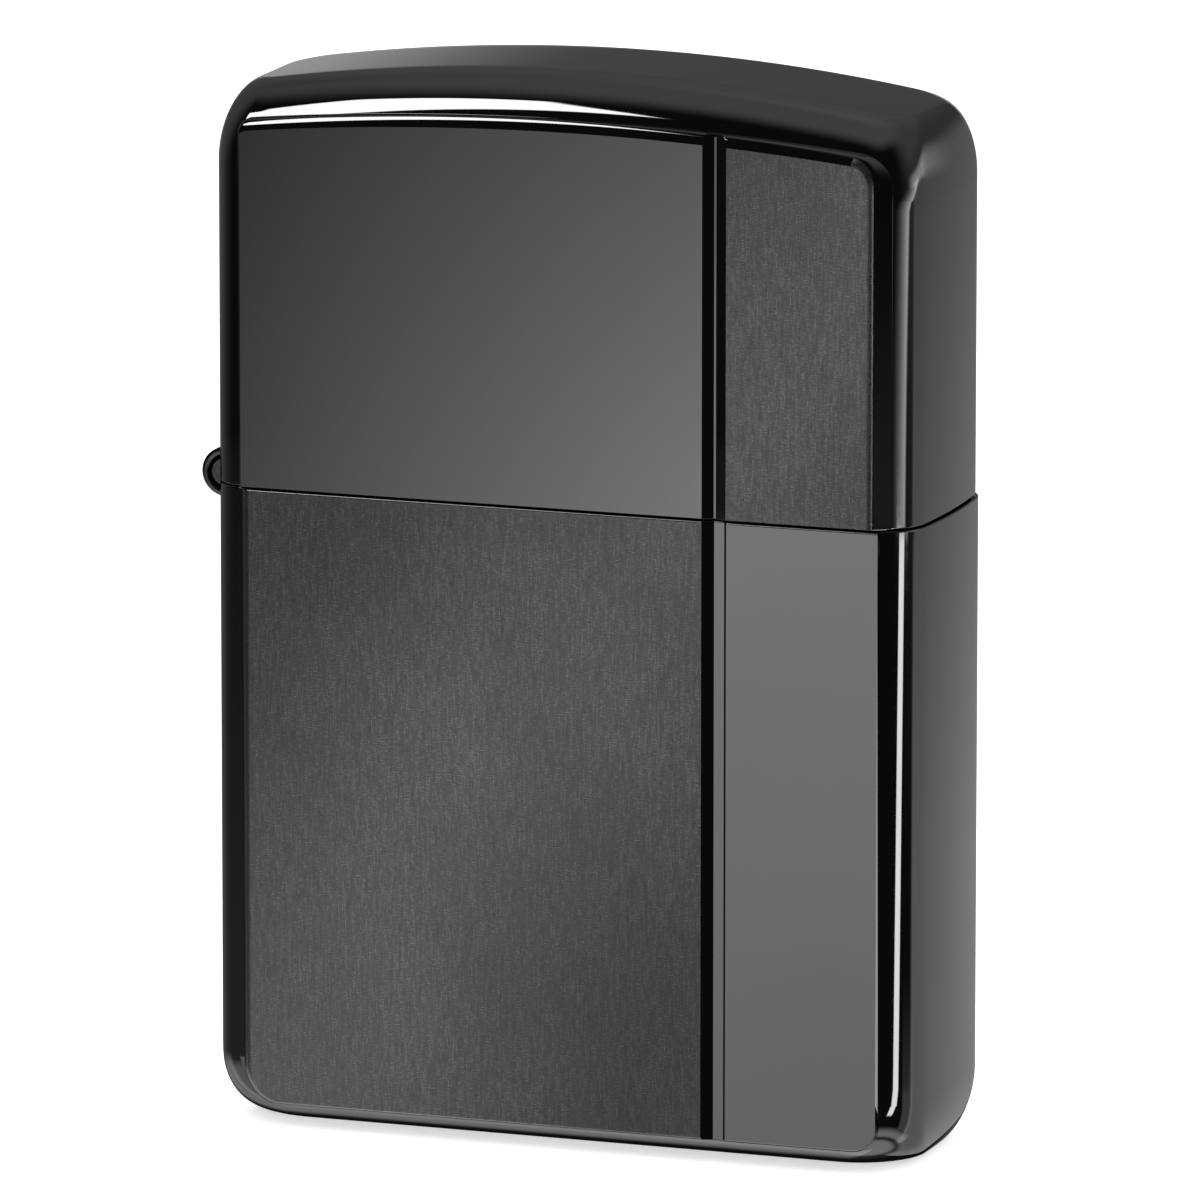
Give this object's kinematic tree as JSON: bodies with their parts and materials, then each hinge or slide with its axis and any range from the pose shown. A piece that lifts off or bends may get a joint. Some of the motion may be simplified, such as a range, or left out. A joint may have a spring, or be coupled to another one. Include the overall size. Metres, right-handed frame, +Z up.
{
  "type": "windproof pocket lighter",
  "caption": "Closed flip-top windproof pocket lighter with a dark chrome case, raised front panels, side hinge and removable fuel insert.",
  "frame": {"origin": "middle of the flat underside of the lower case, under the middle of the case's width and depth", "axes": "+Z up towards the lid, -Y out of the panelled front, -X towards the hinge"},
  "size_m": [0.0393, 0.013, 0.056],
  "materials": {
    "dark_chrome": "dark mirror-polished plating, with one brushed panel on the lid and one on the base",
    "hinge_steel": "polished plated steel",
    "insert_steel": "fine brushed stainless steel",
    "cam_steel": "tumbled steel",
    "rivet_steel": "bright steel",
    "spring_steel": "spring steel",
    "wheel_steel": "dark hardened steel with cut teeth",
    "tube_brass": "turned brass",
    "flint_alloy": "matt sintered alloy",
    "wick_cotton": "braided cotton with fine copper wires",
    "cotton": "loose cotton",
    "felt": "pressed felt"
  },
  "bodies": {
    "case": {"case_base": "dark_chrome", "base_hinge_leaf": "hinge_steel", "hinge_pin": "hinge_steel", "insert_case": "insert_steel", "insert_top_plate": "insert_steel", "chimney": "insert_steel", "cam_rivet": "rivet_steel", "cam_spring": "spring_steel", "wheel_rivet": "rivet_steel", "flint_tube": "tube_brass", "flint_spring": "spring_steel", "flint_screw": "tube_brass", "wick": "wick_cotton", "packing_1": "cotton", "packing_2": "cotton", "packing_3": "cotton", "packing_4": "cotton", "packing_5": "cotton", "felt_pad": "felt"},
    "lid": {"case_lid": "dark_chrome", "lid_hinge_leaf": "hinge_steel"},
    "cam": {"cam": "cam_steel"},
    "wheel": {"flint_wheel": "wheel_steel"},
    "flint": {"flint": "flint_alloy", "spring_tip": "tube_brass"}
  },
  "joints": [
    {"name": "lid_hinge", "type": "hinge", "parent": "case", "child": "lid", "pos_m": [-0.0189, 0, 0.034], "axis": [0, -1, 0], "range_deg": [0, 112]},
    {"name": "cam_pivot", "type": "hinge", "parent": "case", "child": "cam", "pos_m": [-0.0124, 0, 0.0381], "axis": [0, -1, 0], "range_deg": [0, 12], "stiffness_Nm_per_rad": 0.02, "springref_deg": -17.19, "deforming": ["cam_spring"]},
    {"name": "wheel_spin", "type": "hinge", "parent": "case", "child": "wheel", "pos_m": [0.0116, 0, 0.0424], "axis": [0, 1, 0], "continuous": true},
    {"name": "flint_feed", "type": "slide", "parent": "case", "child": "flint", "axis": [0, 0, 1], "range_m": [-0.0015, 0], "stiffness_N_per_m": 40, "springref_m": 0.01, "deforming": ["flint_spring"]}
  ]
}
